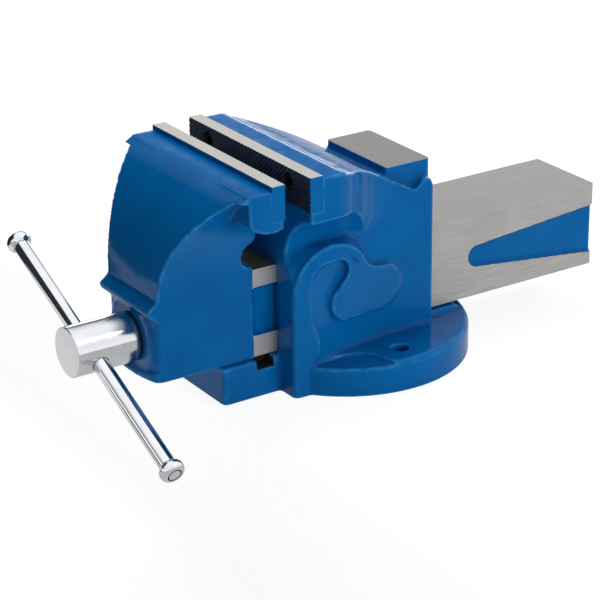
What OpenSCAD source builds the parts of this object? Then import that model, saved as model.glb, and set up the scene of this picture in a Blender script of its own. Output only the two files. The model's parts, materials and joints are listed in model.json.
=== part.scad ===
// Engineer's bench vise with a fixed, round base.
// Millimetres. +Z is up and +Y runs from the jaws to the tail of the slide.
// The origin is the centre of the round flange, on its underside, midway between the two fixing holes.

/* [Jaws] */
// Length of the jaws from end to end
jaw_w = 200; // [190:1:220]
// Height of the jaw tops above the bench
jaw_top = 216; // [206:1:226]
// Gap between the jaw plates as the vise is posed
jaw_gap = 24; // [10:1:60]
// Thickness of a jaw plate
plate_t = 13.5; // [11:0.5:16]
// Height of a jaw plate
plate_h = 32; // [30:1:34]
// Distance between the two screws of a jaw plate
plate_screw_pitch = 132; // [100:1:150]
// Diameter of a jaw plate screw
plate_screw_d = 10; // [8:1:12]

/* [Slide] */
// Width of the slide
slide_w = 84; // [80:1:86]
// Height of the slide
slide_h = 83; // [80:1:86]
// Height of the slide's underside above the bench
slide_z = 35.5; // [33:0.5:37]
// Thickness of the slide's side walls
slide_wall = 14; // [11:1:17]
// Thickness of the slide's roof
slide_roof = 16; // [12:1:20]
// How far the slide's tail lies behind the base centre
slide_tail = 259; // [230:1:290]
// Clearance between the slide and its tunnel
slide_fit = 0.3; // [0.25:0.05:0.4]

/* [Body] */
// Width of the body across its flat sides
body_w = 112; // [108:1:120]
// How far the body's rear face lies behind the base centre
body_rear = 60; // [56:1:70]
// Width of the anvil
anvil_w = 95; // [80:1:98]
// Length of the anvil along the vise
anvil_l = 47.5; // [40:0.5:50]
// Height of the anvil top above the bench
anvil_top = 186; // [182:1:192]

/* [Base] */
// Radius of the round flange
flange_r = 114.5; // [110:0.5:118]
// Height of the flange at its rim
flange_h = 26.5; // [24:0.5:28]
// Distance between the two fixing holes
hole_pitch = 176; // [170:1:182]
// Diameter of a fixing hole
hole_d = 16; // [12:1:18]
// Width of the foot under the front of the slide
foot_w = 100; // [92:1:104]
// How far the foot reaches in front of the fixed jaw plate
foot_l = 59; // [50:1:64]

/* [Screw] */
// Height of the screw axis above the bench
axis_z = 66; // [64:1:70]
// Diameter of the screw
screw_d = 28; // [24:1:30]
// Diameter of the screw's head
head_d = 45.4; // [42:0.2:50]
// Length of the screw's head
head_l = 60; // [54:1:66]
// Distance from the moving jaw's front to its plate
jaw_depth = 96; // [90:1:100]

/* [Handle] */
// Diameter of the handle bar
bar_d = 15; // [12:0.5:16]
// Length of the handle bar
bar_l = 300; // [260:1:340]
// How far the bar is pushed through towards its lower end
bar_shift = 6; // [0:1:20]
// Angle of the bar below level
bar_tilt = 24; // [0:1:40]
// Diameter of a handle knob
knob_d = 24; // [20:0.5:28]

/* [Hidden] */

paint = "#005896";
steel = "#b4b4b0";
bright = "#d6d9dc";
$fn = 96;
eps = 0.01;
// Air left between two pieces that move past each other, and between two that only touch
gap = 0.3;
seat_gap = 0.05;
// Radial clearance of the turning screw in its bore
running_fit = 0.1;

// Jaw plates and their seats
face_y = -104;                          // gripping face of the fixed plate
fixed_seat_y = face_y + plate_t;
moving_face_y = face_y - jaw_gap;       // gripping face of the moving plate
moving_seat_y = moving_face_y - plate_t;
plate_z = jaw_top - plate_h;
casting_top = jaw_top - 2;              // the fixed casting stops just under its plate
set_back = 2;                           // castings stand this far behind the gripping faces
plate_screw_z = jaw_top - 13;
plate_screw_head_d = plate_screw_d * 1.5;
plate_bore_fit = 0.6;
plate_screw_reach = 20;

// Moving jaw: its front bulges on a large radius about a level axis, and each flank is one large cove
jaw_front_y = moving_face_y - jaw_depth;
bulge_r = 112.7;
bulge_z = axis_z + 44.6;
cove_r = 134;
cove_z = axis_z + 38;
cheek_w = slide_w + 3;                  // the casting stands this much proud of the milled slide
moving_top = jaw_top - 4.5;
head_under = plate_z - 10;              // underside of the jaw ends
jaw_end_l = 22;                         // length of a jaw end in front of the plate seat
throat_r = 13.7;
throat_floor = 3.3;                     // thickness of the casting left over the slide's top
rib_out = 9;
rib_z = axis_z + 36;
boss_r = head_d / 2 + 13.3;
boss_out = 3;
chin_out = 8;                           // reach of the lip under the screw's head
front_corner_r = 6;

// Slide and tunnel
slide_top = slide_z + slide_h;
cavity_w = slide_w - 2 * slide_wall;
cavity_top = slide_top - slide_roof;
front_wall = 36;
cavity_front = jaw_front_y + front_wall;
tunnel_w = slide_w + 2 * slide_fit;
tunnel_floor = slide_z - slide_fit;
tunnel_top = slide_top + slide_fit;
cheek_end = moving_face_y + 0.5;        // where the milled strips start
tail_recess_depth = 2.5;
tail_recess_l = slide_tail - body_rear - 50;
front_recess_depth = 4;
front_recess_l = 90;

// Body
taper = (jaw_w - body_w) / 2;           // the jaw ends stand out this much from the flat sides
anvil_rear = body_rear;
anvil_front = anvil_rear - anvil_l;
valley_z = anvil_top - 10;
shoulder_low = anvil_top - 24;
shoulder_rear = anvil_top - 14;
deck_z = flange_h + 3;

// Ear: a lobe on each side with a round crown in front and a round tail behind
ear_x = 74;
ear_front = face_y;
ear_top = 138;
ear_flat = 50;                          // length of its flat face, from the front
ear_l = 128;                            // where its face has run out to the body's side
crown_r = 42;
crown_y = ear_front + crown_r;
crown_z = ear_top - crown_r;
tail_r = 20.5;
tail_y = crown_y + 63;
tail_z = crown_z - 16;
hollow_d = 8;                           // depth of the S-shaped hollow in its face

// Nut
nut_w = 48;
nut_l = 54;
nut_y = face_y + 60;
nut_top = axis_z + 24;
nut_bolt_d = 12;
nut_bolt_pitch = 28;
nut_bolt_grip = 12;                     // length of the bolt inside the nut
floor_t = 19;
core_z = tunnel_floor - floor_t;
core_w = 72;
core_web = 18;

// Spindle stack, from the head inwards
washer_t = 2.5;
head_rear = jaw_front_y - boss_out - seat_gap - washer_t - seat_gap;
head_front = head_rear - head_l;
screw_short = 90;                       // the screw ends this far inside the slide's tail
screw_end = slide_tail - screw_short;
inner_washer_t = 3;
spring_l = 26;
spring_wire = 4;
spring_turns = 4;
collar_l = 14;
collar_d = 42;
inner_washer_y = cavity_front + seat_gap;
spring_y = inner_washer_y + inner_washer_t + seat_gap;
collar_y = spring_y + spring_l + seat_gap;
pin_d = 6;

// Handle, in the plane of the cross hole
handle_y = head_front + 21.5;
knob_l = 15;

// ---------- small helpers ----------

// Both sides of the vise
module both_sides() {
    children();
    mirror([1, 0, 0]) children();
}

// A side outline, drawn as [y, z], carried across the vise between two x planes
module across(x0, x1) {
    translate([x0, 0, 0]) rotate([90, 0, 90]) linear_extrude(x1 - x0) children();
}

// A front outline, drawn as [x, z], carried along the vise between two y planes
module along(y0, y1) {
    translate([0, y1, 0]) rotate([90, 0, 0]) linear_extrude(y1 - y0) children();
}

// A cylinder whose axis runs along the vise, from y0 to y1
module rod(y0, y1, r, x = 0, z = 0) {
    translate([x, y0, z]) rotate([-90, 0, 0]) cylinder(r = r, h = y1 - y0);
}

// A cylinder whose axis runs across the vise
module bar_across(x0, x1, r, y, z) {
    translate([x0, y, z]) rotate([0, 90, 0]) cylinder(r = r, h = x1 - x0);
}

module box(x0, x1, y0, y1, z0, z1) {
    translate([x0, y0, z0]) cube([x1 - x0, y1 - y0, z1 - z0]);
}

// Points of an arc about [u, v], from one angle to another
function arc(u, v, r, from, to, steps = 8) =
    [for (i = [0 : steps]) let (a = from + (to - from) * i / steps) [u + r * cos(a), v + r * sin(a)]];

// An outline drawn for the right side only, closed by its mirror image
module mirrored(half) {
    polygon(concat(half, [for (i = [len(half) - 1 : -1 : 0]) [-half[i][0], half[i][1]]]));
}

// ---------- body ----------

// Plan of the fixed jaw: full width at the plate, then drawn in at 45 degrees to the body's flat sides
module jaw_plan() {
    end_l = 40;
    end_r = 12;
    neck_r = 20;
    rear_r = 4;
    end_y = face_y + set_back + end_l;
    mirrored(concat(
        [[jaw_w / 2, face_y + set_back]],
        arc(jaw_w / 2 - end_r, end_y - end_r * tan(22.5), end_r, 0, 45),
        arc(body_w / 2 + neck_r, end_y + taper + neck_r * tan(22.5), neck_r, 225, 180),
        arc(body_w / 2 - rear_r, body_rear - rear_r, rear_r, 0, 90)));
}

// Front view of the fixed jaw: flat ends with a cove below them
module jaw_front() {
    cove = 50;
    under = plate_z - 11;
    low = under - sqrt(cove * cove - (cove - taper) * (cove - taper));
    mirrored(concat(
        [[body_w / 2, 0]],
        arc(body_w / 2 + cove, low, cove, 180, acos(taper / cove - 1), 16),
        [[jaw_w / 2, casting_top]]));
}

// Side view of the body above the slide: plate seat, jaw top, and the back, which falls to the anvil's
// foot on a large radius
module body_side() {
    front = face_y + set_back;
    seat = fixed_seat_y + seat_gap;
    brow_y = fixed_seat_y + 23;
    back_r = 240;
    start = [brow_y + 3, casting_top - 3];
    foot = [anvil_front, valley_z];
    fall = atan2(foot[1] - start[1], foot[0] - start[0]);
    half = asin(norm(foot - start) / 2 / back_r);
    centre = (start + foot) / 2 - back_r * cos(half) * [-sin(fall), cos(fall)];
    polygon(concat(
        [[front, 0], [front, plate_z - seat_gap], [seat, plate_z - seat_gap], [seat, casting_top],
         [brow_y, casting_top]],
        arc(centre[0], centre[1], back_r, fall + 90 + half, fall + 90 - half, 12),
        [[body_rear, valley_z], [body_rear, 0]]));
}

// The shoulders beside the anvil dip towards the rear and lift again at the corner
module shoulder_cut() {
    polygon([[anvil_front - 6, anvil_top], [anvil_front - 6, valley_z + 4], [anvil_front + 9, shoulder_low + 10],
             [anvil_rear - 20, shoulder_low], [anvil_rear - 11, shoulder_rear], [anvil_rear - 4, shoulder_rear - 2.5],
             [anvil_rear + eps, shoulder_rear - 10], [anvil_rear + 9, shoulder_rear - 10],
             [anvil_rear + 9, anvil_top]]);
}

module body_block() {
    intersection() {
        linear_extrude(jaw_top) jaw_plan();
        along(face_y, body_rear) jaw_front();
        across(-jaw_w / 2, jaw_w / 2) body_side();
    }
}

module anvil() {
    box(-anvil_w / 2, anvil_w / 2, anvil_front, anvil_rear, valley_z - 20, anvil_top);
    // cast fillet at the foot of the anvil's front
    foot_r = 7;
    difference() {
        box(-anvil_w / 2, anvil_w / 2, anvil_front - foot_r, anvil_front, valley_z - eps, valley_z + foot_r);
        bar_across(-anvil_w, anvil_w, foot_r, anvil_front - foot_r, valley_z + foot_r);
    }
}

// Upper edge of the ear, from its front over the crown and down the sweep to the tail
function ear_edge() =
    let (sweep_r = 30,
         from_crown = crown_r + sweep_r,
         from_tail = tail_r + sweep_r,
         apart = norm([tail_y - crown_y, tail_z - crown_z]),
         lie = atan2(tail_z - crown_z, tail_y - crown_y),
         near = acos((from_crown * from_crown + apart * apart - from_tail * from_tail) / (2 * from_crown * apart)),
         far = acos((from_tail * from_tail + apart * apart - from_crown * from_crown) / (2 * from_tail * apart)),
         sweep_y = crown_y + from_crown * cos(lie + near),
         sweep_z = crown_z + from_crown * sin(lie + near))
    concat([[ear_front, 0]],
           arc(crown_y, crown_z, crown_r, 180, lie + near, 16),
           arc(sweep_y, sweep_z, sweep_r, 180 + lie + near, 360 + lie - far, 6),
           arc(tail_y, tail_z, tail_r, 180 + lie - far, 0, 6));

// The raised face: column, crown and tail round a hollow whose rear edge is an S
module ear_face() {
    hook_r = 11;
    lobe_r = 18;
    rim = 16;
    hook_y = crown_y + 7;
    hook_z = crown_z + rim - 2;
    lobe_y = crown_y + rim;
    lobe_z = crown_z - rim;
    column = ear_front + 20;
    polygon(concat(
        ear_edge(),
        arc(tail_y, tail_z, tail_r, -10, -90, 6),
        arc(lobe_y, lobe_z, lobe_r, -90, -240, 12),
        arc(hook_y, hook_z, hook_r, -70, 100, 12),
        arc(crown_y, crown_z, crown_r - rim, 110, 180, 8),
        [[column, crown_z - 26], [column + 8, crown_z - 48], [column + 7, crown_z - 58], [column, deck_z],
         [column, 0]]));
}

module ear() {
    wall_x = body_w / 2 - 8;
    corner = 5;
    flare = 8;
    // the raised face runs out to the body's side behind
    intersection() {
        across(wall_x, ear_x) ear_face();
        linear_extrude(ear_top) polygon(concat(
            arc(ear_x - corner, ear_front + corner, corner, -90, 0, 4),
            [[ear_x, ear_front + ear_flat], [body_w / 2 + 1, ear_front + ear_l], [0, ear_front + ear_l],
             [0, ear_front]]));
    }
    // floor of the hollow, deepest at the S
    intersection() {
        across(wall_x, ear_x) polygon(concat(ear_edge(), [[tail_y + tail_r, 0]]));
        linear_extrude(ear_top) polygon([
            [0, ear_front + corner], [ear_x - 2, ear_front + corner], [ear_x - 2, ear_front + 20],
            [ear_x - hollow_d, ear_front + ear_flat], [body_w / 2 - 1, ear_front + 110], [0, ear_front + 110]]);
    }
    // the crown flares in to the body
    intersection() {
        translate([wall_x, crown_y, crown_z]) rotate([0, 90, 0])
            cylinder(r1 = crown_r + flare * 1.5, r2 = crown_r - 2, h = ear_x - wall_x);
        across(wall_x, ear_x - 0.5) polygon(concat(
            arc(crown_y, crown_z, crown_r - flare, 35, 180, 12),
            [[ear_front + 1, crown_z], [ear_front + 1, ear_top - 1],
             [crown_y + (crown_r - 1) / tan(35), ear_top - 1]]));
    }
}

// Plan of a hand scoop in the flange's deck
module scoop() {
    near_x = 71;
    front_r = 44;
    rear_r = 29;
    polygon(concat(
        arc(near_x + front_r, -72, front_r, 212, 180),
        arc(near_x + rear_r, -54, rear_r, 180, 95),
        [[flange_r + 5, -19], [flange_r + 5, -100]]));
}

module flange() {
    cylinder(r = flange_r, h = flange_h, $fn = 240);
    // raised deck around the body, run out to the rim except where the hand scoops are
    difference() {
        translate([0, 0, flange_h - 1])
            cylinder(r1 = flange_r - 0.5, r2 = flange_r - 3, h = deck_z - flange_h + 1, $fn = 240);
        both_sides() translate([0, 0, flange_h]) linear_extrude(deck_z) scoop();
    }
}

// The foot under the front of the slide, with a clear notch in front of the body
module front_foot() {
    foot_top = tunnel_floor - 0.5;
    corner = 4;
    front = face_y - foot_l;
    difference() {
        union() {
            box(-foot_w / 2 + corner, foot_w / 2 - corner, front, face_y + 10, 0, foot_top);
            box(-foot_w / 2, foot_w / 2, front + corner, face_y + 10, 0, foot_top);
            both_sides() translate([foot_w / 2 - corner, front + corner, 0]) cylinder(r = corner, h = foot_top);
        }
        both_sides() box(foot_w / 2 - 16, foot_w, face_y - 24, face_y - 7, foot_top - 9, foot_top + 1);
    }
}

// Strip of the base that carries the slide behind the body
module rear_rest() {
    rest_w = 92;
    box(-rest_w / 2, rest_w / 2, body_rear - 5, body_rear + 36, 0, tunnel_floor - 2);
}

module body() {
    color(paint) difference() {
        union() {
            body_block();
            anvil();
            both_sides() ear();
            flange();
            front_foot();
            rear_rest();
        }
        both_sides() across(anvil_w / 2, jaw_w) shoulder_cut();
        // tunnel for the slide, from end to end, clear above the foot too
        box(-tunnel_w / 2, tunnel_w / 2, face_y - foot_l - 5, body_rear + 50, tunnel_floor, tunnel_top);
        // the underside is cored out on both sides of a web, leaving a floor under the nut
        box(-core_w / 2, core_w / 2, face_y + 14, -core_web / 2, -eps, core_z);
        box(-core_w / 2, core_w / 2, core_web / 2, body_rear - 14, -eps, core_z);
        for (side = [-1, 1]) {
            translate([side * hole_pitch / 2, 0, -eps]) cylinder(d = hole_d, h = deck_z + 1);
            rod(fixed_seat_y - eps, fixed_seat_y + plate_screw_reach, plate_screw_d / 2 + seat_gap,
                side * plate_screw_pitch / 2, plate_screw_z);
            translate([0, nut_y + side * nut_bolt_pitch / 2, core_z - eps])
                cylinder(d = nut_bolt_d + 1, h = floor_t + 1);
        }
    }
}

// ---------- moving jaw ----------

// Side view of the moving jaw: bulged front, top with its plate seat, back with the throat
module moving_side() {
    bulge_y = jaw_front_y + bulge_r;
    back_y = moving_face_y - set_back;
    difference() {
        union() {
            intersection() {
                translate([bulge_y, bulge_z]) circle(r = bulge_r, $fn = 360);
                translate([jaw_front_y, bulge_z]) square([back_y - jaw_front_y, moving_top - bulge_z]);
            }
            translate([jaw_front_y, slide_z]) square([back_y - jaw_front_y, bulge_z - slide_z + eps]);
        }
        translate([moving_seat_y - seat_gap, plate_z - seat_gap]) square([plate_t * 2, plate_h + 1]);
        // round throat above the slide
        translate([back_y + 3.5, slide_top + throat_floor + throat_r]) circle(r = throat_r);
    }
}

// Front view of the moving jaw: the coves draw the full jaw width in to the slide
module moving_front() {
    centre_x = cheek_w / 2 + cove_r;
    lip = 6.5;
    difference() {
        translate([-jaw_w / 2, slide_z]) square([jaw_w, moving_top - slide_z]);
        for (side = [-1, 1]) intersection() {
            translate([side * centre_x, 0]) union() {
                translate([0, cove_z]) circle(r = cove_r, $fn = 360);
                translate([-cove_r, 0]) square([2 * cove_r, cove_z]);
            }
            translate([-jaw_w, 0]) square([2 * jaw_w, moving_top - lip]);
        }
    }
}

// A jaw end: a block below the lip with a rounded belly, behind which the plate sits
module jaw_end() {
    belly_r = 38;
    heel_r = 11.25;
    back = moving_face_y - set_back;
    front = moving_seat_y - jaw_end_l;
    low_y = back - 9;
    inner = jaw_w / 2 - 46;
    intersection() {
        across(inner, jaw_w / 2) difference() {
            union() {
                intersection() {
                    translate([low_y, head_under + belly_r]) circle(r = belly_r);
                    translate([front, head_under - 2]) square([low_y - front, moving_top - head_under + 2]);
                }
                intersection() {
                    union() {
                        translate([low_y, head_under + heel_r]) circle(r = heel_r);
                        translate([low_y - 1, head_under + heel_r]) square([2 * heel_r, moving_top]);
                    }
                    translate([low_y, head_under - 2]) square([back - low_y, moving_top - head_under + 2]);
                }
            }
            translate([moving_seat_y - seat_gap, plate_z - seat_gap]) square([plate_t * 2, plate_h + 1]);
        }
        along(front, back) difference() {
            translate([inner, head_under]) square([jaw_w / 2 - inner, moving_top - head_under]);
            translate([inner - 8, head_under - 10]) circle(r = 26);
        }
    }
}

// Rib across the front, above the screw boss
module front_rib() {
    half = cheek_w / 2;
    across(-half, half) polygon([[jaw_front_y + 8, rib_z + 12], [jaw_front_y + 1.5, rib_z + 10],
        [jaw_front_y - rib_out + 2.4, rib_z + 3.6], [jaw_front_y - rib_out + 0.5, rib_z + 1.6],
        [jaw_front_y - rib_out, rib_z - 0.6], [jaw_front_y - rib_out + 0.9, rib_z - 3],
        [jaw_front_y - 1, rib_z - 9.5], [jaw_front_y + 8, rib_z - 12]]);
}

// The painted hollow on each side of the slide's tail, round in front and open behind
module tail_recess() {
    start = slide_tail - tail_recess_l;
    mid_z = slide_z + 39.5;
    r = 11;
    translate([start + r, mid_z]) circle(r = r);
    polygon([[start + r, mid_z - r], [slide_tail + 1, slide_z + 12], [slide_tail + 1, slide_top - 21.5],
             [start + r, mid_z + r]]);
}

// The painted hollow between the two milled strips behind the moving jaw
module front_recess() {
    low = slide_z + 20;
    high = slide_top - 17;
    translate([cheek_end, low]) square([front_recess_l, high - low]);
}

module slide() {
    difference() {
        box(-slide_w / 2, slide_w / 2, cavity_front - 10, slide_tail, slide_z, slide_top);
        both_sides() across(slide_w / 2 - tail_recess_depth, slide_w) tail_recess();
        both_sides() across(slide_w / 2 - front_recess_depth, slide_w) front_recess();
    }
}

// What the rounding of an upright front corner takes away, below the rib
module front_corner_cut() {
    x = cheek_w / 2;
    r = front_corner_r;
    translate([0, 0, slide_z - 1]) linear_extrude(rib_z - slide_z) polygon(concat(
        arc(x - r, jaw_front_y + r, r, 0, -90),
        [[x - r, jaw_front_y - 1], [x + 1, jaw_front_y - 1], [x + 1, jaw_front_y + r]]));
}

// Boss round the screw with a conical foot, cut off level with the underside of the slide
module screw_boss() {
    intersection() {
        union() {
            rod(jaw_front_y - boss_out, jaw_front_y + 10, boss_r, 0, axis_z);
            translate([0, jaw_front_y - boss_out + 0.5, axis_z]) rotate([-90, 0, 0])
                cylinder(r1 = boss_r - 0.5, r2 = boss_r + 3.5, h = boss_out);
        }
        box(-jaw_w, jaw_w, jaw_front_y - 10, jaw_front_y + 20, slide_z, rib_z);
    }
}

// Lip bowed forward under the head of the screw
module chin() {
    bow_r = 143;
    half = cheek_w / 2;
    bow = asin((half - 3) / bow_r);
    intersection() {
        linear_extrude(axis_z) mirrored(concat(
            [[half - 0.5, jaw_front_y + 8], [half - 0.5, jaw_front_y + 2]],
            arc(0, jaw_front_y - chin_out + bow_r, bow_r, bow - 90, -90)));
        across(-half, half) polygon([
            [jaw_front_y + 8, slide_z], [jaw_front_y - chin_out + 0.8, slide_z],
            [jaw_front_y - chin_out - 1, slide_z + 1.2], [jaw_front_y - boss_out, slide_z + 6.5],
            [jaw_front_y + 8, slide_z + 9]]);
    }
}

module moving_jaw() {
    color(paint) difference() {
        union() {
            difference() {
                intersection() {
                    across(-jaw_w / 2, jaw_w / 2) moving_side();
                    along(jaw_front_y, cheek_end) moving_front();
                }
                both_sides() front_corner_cut();
            }
            both_sides() jaw_end();
            // cheeks between the throat and the milled strips
            box(-cheek_w / 2, cheek_w / 2, moving_face_y - 30, cheek_end, slide_z, slide_top + throat_floor);
            front_rib();
            screw_boss();
            chin();
            slide();
        }
        // the slide is a channel, open below and behind
        box(-cavity_w / 2, cavity_w / 2, cavity_front, slide_tail + 1, slide_z - 1, cavity_top);
        rod(jaw_front_y - boss_out - 1, cavity_front + 1, screw_d / 2 + running_fit, 0, axis_z);
        for (side = [-1, 1])
            rod(moving_seat_y - plate_screw_reach, moving_seat_y + eps, plate_screw_d / 2 + seat_gap,
                side * plate_screw_pitch / 2, plate_screw_z);
    }
}

// ---------- jaw plates and screws ----------

// A plate with its back on y = 0 and its gripping face towards +Y, bored for two cap screws
module jaw_plate() {
    head_room = plate_screw_head_d / 2 + plate_bore_fit;
    color(steel) difference() {
        box(-jaw_w / 2, jaw_w / 2, 0, plate_t, plate_z, jaw_top);
        for (side = [-1, 1]) {
            rod(-1, plate_t + 1, plate_screw_d / 2 + plate_bore_fit, side * plate_screw_pitch / 2, plate_screw_z);
            rod(plate_t - plate_screw_d, plate_t + 1, head_room, side * plate_screw_pitch / 2, plate_screw_z);
        }
    }
}

// A cap screw in its plate, drawn as the plate is
module plate_screw(side) {
    seat = plate_t - plate_screw_d;
    color("#2b2d31") translate([side * plate_screw_pitch / 2, 0, plate_screw_z]) difference() {
        union() {
            rod(-plate_screw_reach + 2, seat + 1, plate_screw_d / 2);
            rod(seat + seat_gap, seat + seat_gap + plate_screw_d * 0.85, plate_screw_head_d / 2);
        }
        translate([0, seat + plate_screw_d * 0.4, 0]) rotate([-90, 0, 0])
            cylinder(d = plate_screw_d * 0.9, h = plate_screw_d, $fn = 6);
    }
}

// Carries a plate or screw to the fixed or to the moving jaw
module on_fixed_jaw() {
    translate([0, fixed_seat_y, 0]) mirror([0, 1, 0]) children();
}

module on_moving_jaw() {
    translate([0, moving_seat_y, 0]) children();
}

// ---------- spindle and what it carries ----------

module handle_axis() {
    translate([0, handle_y, axis_z]) rotate([0, 90 + bar_tilt, 0]) children();
}

module spindle() {
    edge = 1.2;
    color(bright) difference() {
        union() {
            translate([0, head_front, axis_z]) rotate([-90, 0, 0]) rotate_extrude()
                polygon([[0, 0], [head_d / 2 - edge, 0], [head_d / 2, edge], [head_d / 2, head_l - edge],
                         [head_d / 2 - edge, head_l], [0, head_l]]);
            rod(head_rear - 1, screw_end, screw_d / 2, 0, axis_z);
        }
        handle_axis() cylinder(d = bar_d + 2 * gap, h = head_d * 2, center = true);
        translate([0, collar_y + collar_l / 2, axis_z]) cylinder(d = pin_d, h = collar_d * 2, center = true);
    }
}

// A flat ring on the screw's axis
module ring(y0, t, d, bore) {
    difference() {
        rod(y0, y0 + t, d / 2, 0, axis_z);
        rod(y0 - 1, y0 + t + 1, bore / 2, 0, axis_z);
    }
}

module head_washer() {
    color(bright) ring(head_rear + seat_gap, washer_t, head_d - 1, screw_d + 2 * gap);
}

module spring_washer() {
    color(steel) ring(inner_washer_y, inner_washer_t, collar_d, screw_d + 2 * gap);
}

// Points of one ring of the spring's wire at a turn angle
function wire_ring(angle, coil_r, rise, sides) = [
    for (i = [0 : sides - 1])
        let (a = 360 * i / sides, r = coil_r + spring_wire / 2 * cos(a))
        [r * cos(angle), r * sin(angle), spring_wire / 2 * sin(a) + rise * angle / 360 + spring_wire / 2]];

// Compression spring, drawn along +Z from z = 0
module coil_spring(coil_r, length, turns) {
    sides = 8;
    steps = turns * 18;
    rise = (length - spring_wire) / turns;
    points = [for (k = [0 : steps]) each wire_ring(360 * turns * k / steps, coil_r, rise, sides)];
    quads = [for (k = [0 : steps - 1], i = [0 : sides - 1])
        let (j = (i + 1) % sides)
        [k * sides + i, k * sides + j, (k + 1) * sides + j, (k + 1) * sides + i]];
    polyhedron(points, concat(quads, [[for (i = [sides - 1 : -1 : 0]) i]],
                              [[for (i = [0 : sides - 1]) steps * sides + i]]));
}

module thrust_spring() {
    color(steel) translate([0, spring_y, axis_z]) rotate([-90, 0, 0])
        coil_spring(screw_d / 2 + spring_wire / 2 + 0.8, spring_l, spring_turns);
}

module retaining_collar() {
    color(steel) difference() {
        ring(collar_y, collar_l, collar_d, screw_d + 2 * seat_gap);
        translate([0, collar_y + collar_l / 2, axis_z]) cylinder(d = pin_d, h = collar_d * 2, center = true);
    }
}

module collar_pin() {
    color(bright) translate([0, collar_y + collar_l / 2, axis_z])
        cylinder(d = pin_d - 2 * seat_gap, h = collar_d - 2, center = true);
}

// ---------- handle ----------

module handle_bar() {
    color(bright) handle_axis() translate([0, 0, bar_shift]) cylinder(d = bar_d, h = bar_l, center = true);
}

// Turned knob pressed over an end of the bar; its outer face is at z = 0 and it reaches back to -knob_l
module knob() {
    neck_d = knob_d - 4;
    color(bright) difference() {
        rotate_extrude() polygon(concat(
            [[0, 0], [neck_d / 2 - 3, 0]],
            [for (a = [60 : -15 : -60]) [knob_d / 2 - 5 + 5 * cos(a), -5.6 + 5.6 * sin(a)]],
            [[neck_d / 2 - 1.6, -knob_l + 3], [neck_d / 2 - 1.6, -knob_l], [0, -knob_l]]));
        translate([0, 0, -knob_l - 1]) cylinder(d = bar_d, h = knob_l + 2);
    }
}

module handle_knob_lower() {
    handle_axis() translate([0, 0, bar_shift + bar_l / 2]) knob();
}

module handle_knob_upper() {
    handle_axis() translate([0, 0, bar_shift - bar_l / 2]) mirror([0, 0, 1]) knob();
}

// ---------- nut and its bolts ----------

module spindle_nut() {
    color("#6d6f70") difference() {
        box(-nut_w / 2, nut_w / 2, nut_y - nut_l / 2, nut_y + nut_l / 2, tunnel_floor, nut_top);
        rod(nut_y - nut_l, nut_y + nut_l, screw_d / 2 + seat_gap, 0, axis_z);
        for (side = [-1, 1])
            translate([0, nut_y + side * nut_bolt_pitch / 2, tunnel_floor - eps])
                cylinder(d = nut_bolt_d + 2 * seat_gap, h = nut_bolt_grip + 2);
    }
}

// Hexagon bolt from below, with its washer, at a place along the vise
module nut_bolt(y) {
    head_h = nut_bolt_d * 0.62;
    head_z = core_z - washer_t - seat_gap;
    color(steel) translate([0, y, 0]) {
        translate([0, 0, head_z - head_h]) cylinder(d = nut_bolt_d * 1.75, h = head_h, $fn = 6);
        translate([0, 0, head_z - 1]) cylinder(d = nut_bolt_d, h = tunnel_floor + nut_bolt_grip - head_z);
    }
}

module nut_washer(y) {
    color(bright) translate([0, y, core_z - washer_t]) difference() {
        cylinder(d = nut_bolt_d * 2, h = washer_t);
        translate([0, 0, -1]) cylinder(d = nut_bolt_d + 1, h = washer_t + 2);
    }
}

body();
moving_jaw();
on_fixed_jaw() jaw_plate();  // fixed_jaw_plate
on_moving_jaw() jaw_plate();  // moving_jaw_plate
on_fixed_jaw() plate_screw(-1);  // fixed_plate_screw_left
on_fixed_jaw() plate_screw(1);  // fixed_plate_screw_right
on_moving_jaw() plate_screw(-1);  // moving_plate_screw_left
on_moving_jaw() plate_screw(1);  // moving_plate_screw_right
spindle();
head_washer();
spring_washer();
thrust_spring();
retaining_collar();
collar_pin();
handle_bar();
handle_knob_upper();
handle_knob_lower();
spindle_nut();
nut_bolt(nut_y - nut_bolt_pitch / 2);  // nut_bolt_front
nut_bolt(nut_y + nut_bolt_pitch / 2);  // nut_bolt_rear
nut_washer(nut_y - nut_bolt_pitch / 2);  // nut_washer_front
nut_washer(nut_y + nut_bolt_pitch / 2);  // nut_washer_rear
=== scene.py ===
import json
import math

import bmesh
import bpy
import numpy as np
from mathutils import Matrix, Vector

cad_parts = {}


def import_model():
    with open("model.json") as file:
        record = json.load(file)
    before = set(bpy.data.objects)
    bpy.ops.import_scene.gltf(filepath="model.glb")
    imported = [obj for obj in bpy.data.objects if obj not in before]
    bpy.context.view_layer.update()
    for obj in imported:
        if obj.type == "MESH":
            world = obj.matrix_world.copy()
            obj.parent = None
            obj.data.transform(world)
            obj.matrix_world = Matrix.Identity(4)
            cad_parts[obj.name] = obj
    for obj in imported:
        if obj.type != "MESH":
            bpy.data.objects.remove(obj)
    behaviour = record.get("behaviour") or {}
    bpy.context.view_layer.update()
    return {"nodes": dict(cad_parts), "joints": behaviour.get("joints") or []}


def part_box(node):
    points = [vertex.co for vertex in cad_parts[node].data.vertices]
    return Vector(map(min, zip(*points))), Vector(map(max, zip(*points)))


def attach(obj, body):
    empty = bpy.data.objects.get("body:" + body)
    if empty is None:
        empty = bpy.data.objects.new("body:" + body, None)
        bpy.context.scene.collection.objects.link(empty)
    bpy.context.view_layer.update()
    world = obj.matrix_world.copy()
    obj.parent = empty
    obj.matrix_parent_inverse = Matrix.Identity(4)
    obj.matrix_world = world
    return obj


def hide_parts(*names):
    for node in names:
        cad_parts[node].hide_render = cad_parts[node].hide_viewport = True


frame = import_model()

MM = 0.001
NODES = frame["nodes"]


# ---------------------------------------------------------------- small tools

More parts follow.
